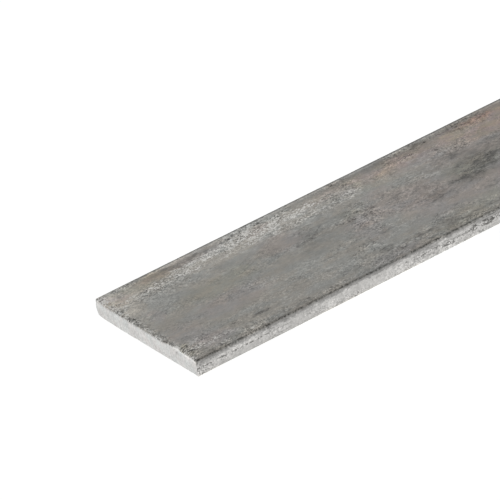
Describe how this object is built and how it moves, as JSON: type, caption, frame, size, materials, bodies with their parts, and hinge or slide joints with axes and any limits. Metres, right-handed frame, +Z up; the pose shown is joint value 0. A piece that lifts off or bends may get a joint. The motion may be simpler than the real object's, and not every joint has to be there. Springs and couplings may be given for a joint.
{
  "type": "steel flat bar",
  "caption": "Hot-rolled steel flat bar, straight and solid, with rounded corners, slightly crowned edges and square-cut ends.",
  "frame": {"origin": "middle of the lower wide face, which lies on the ground", "axes": "+X along the bar's length, +Y across its width, +Z up through its thickness"},
  "size_m": [0.9144, 0.038, 0.0032],
  "materials": {
    "hot_rolled_steel": "matte"
  },
  "bodies": {
    "root": {"flat_bar": "hot_rolled_steel"}
  },
  "joints": []
}
